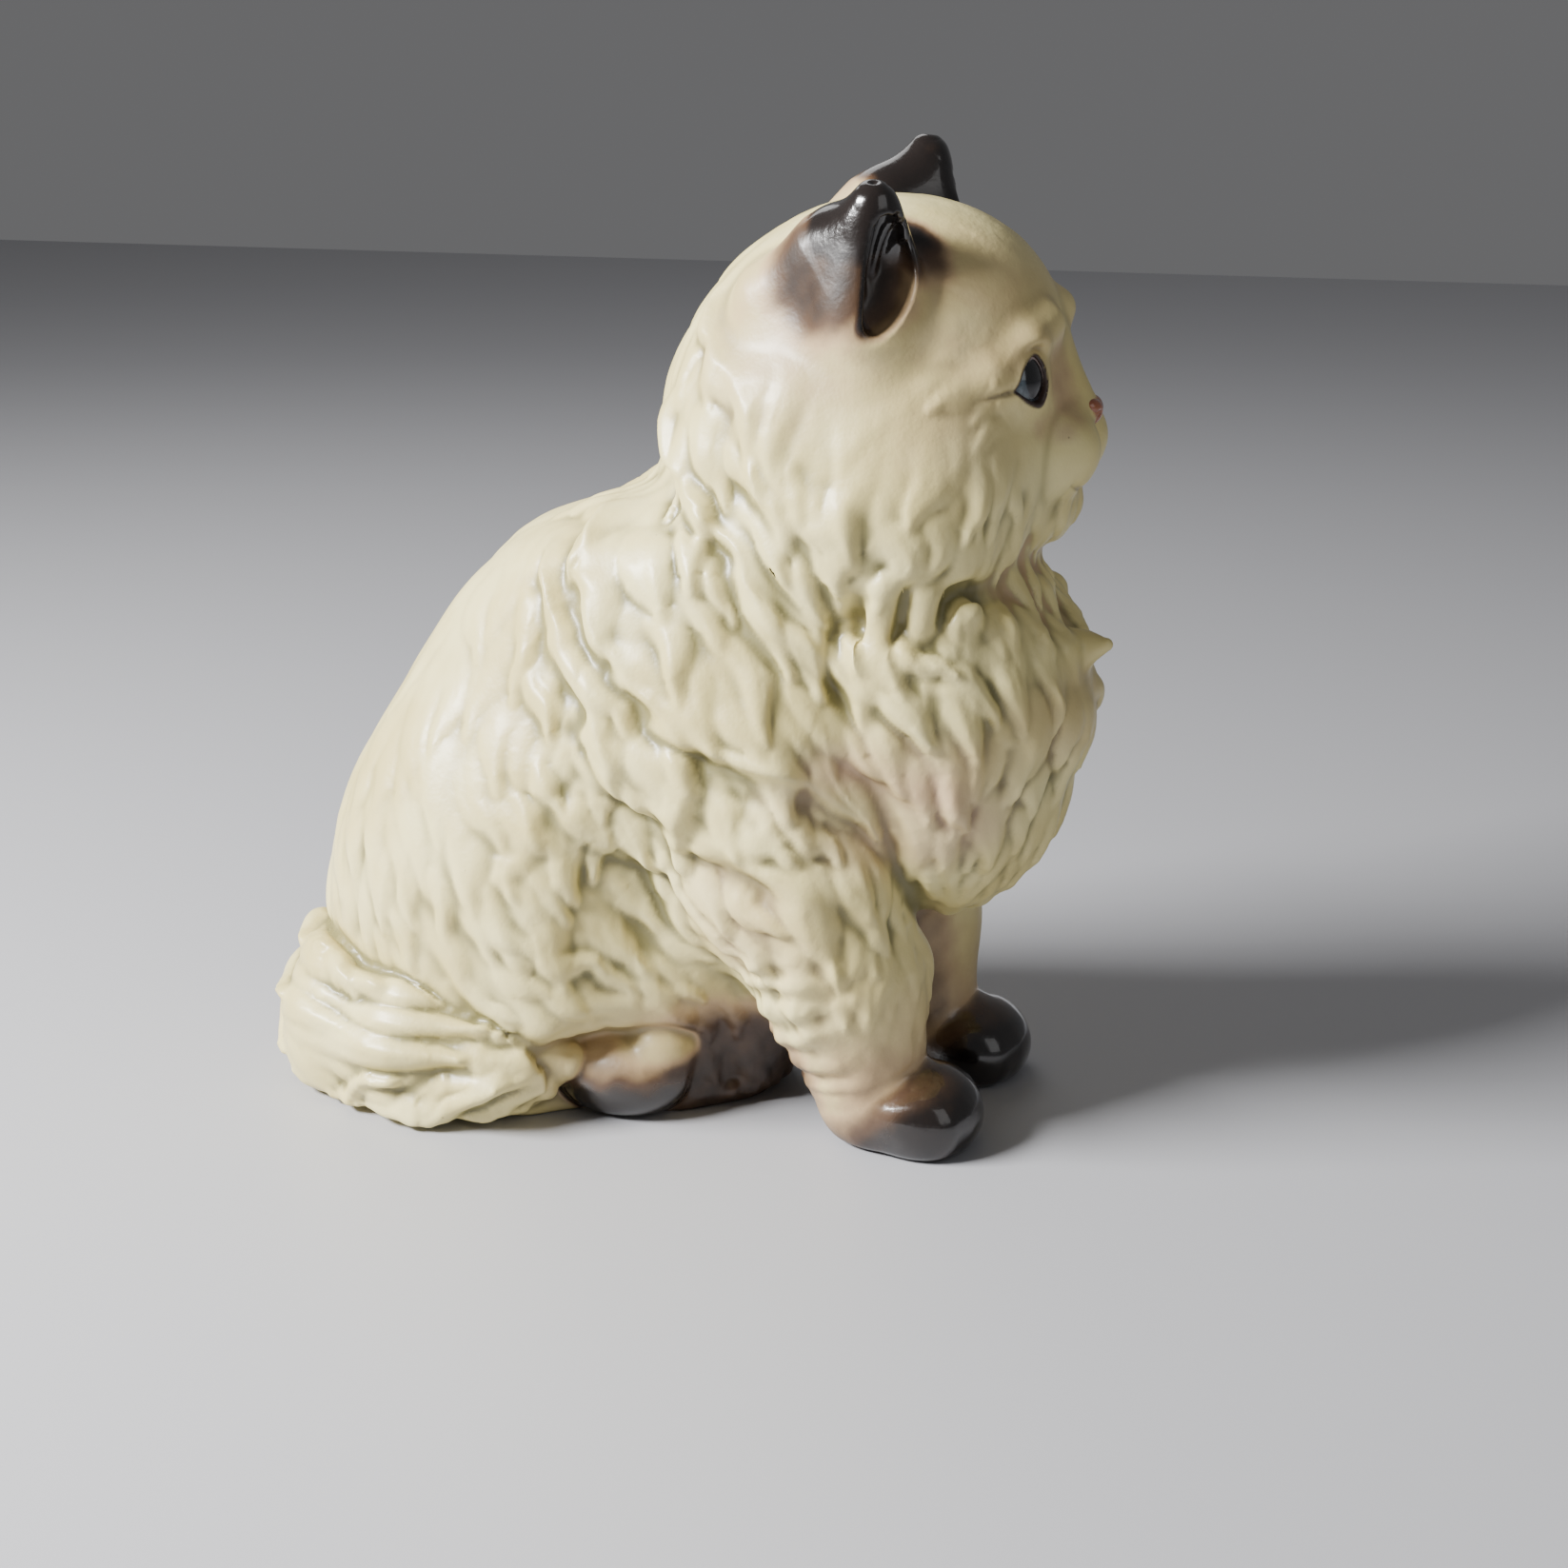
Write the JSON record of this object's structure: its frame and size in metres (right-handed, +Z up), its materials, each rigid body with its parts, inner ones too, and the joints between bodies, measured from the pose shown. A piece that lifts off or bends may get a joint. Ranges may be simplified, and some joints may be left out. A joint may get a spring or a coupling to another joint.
{
  "type": "cat figurine",
  "caption": "Seated long-haired cat figurine in glazed ceramic, a hollow casting with luted head, ears, legs, paws and a tail wrapped round the right side, resting on a flat base.",
  "frame": {"origin": "middle of the flat base, on the surface it stands on", "axes": "+Z up, the cat faces -Y, its left side is +X"},
  "size_m": [0.0803, 0.148, 0.1691],
  "materials": {
    "cream_glaze": "clear gloss glaze over cream slip, airbrushed with grey and tan",
    "brown_glaze": "clear gloss glaze over airbrushed seal brown",
    "eye_enamel": "gloss, painted blue iris and black pupil",
    "nose_enamel": "gloss, painted terracotta",
    "bisque": "unglazed, matt"
  },
  "bodies": {
    "root": {"body_shell": "cream_glaze", "base_plate": "bisque", "head_shell": "cream_glaze", "chest_ruff": "cream_glaze", "tail": "cream_glaze", "nose": "nose_enamel", "left_eye": "eye_enamel", "right_eye": "eye_enamel", "left_ear": "brown_glaze", "right_ear": "brown_glaze", "left_foreleg": "cream_glaze", "right_foreleg": "cream_glaze", "left_front_paw": "brown_glaze", "right_front_paw": "brown_glaze", "left_hind_paw": "brown_glaze", "right_hind_paw": "brown_glaze"}
  },
  "joints": []
}
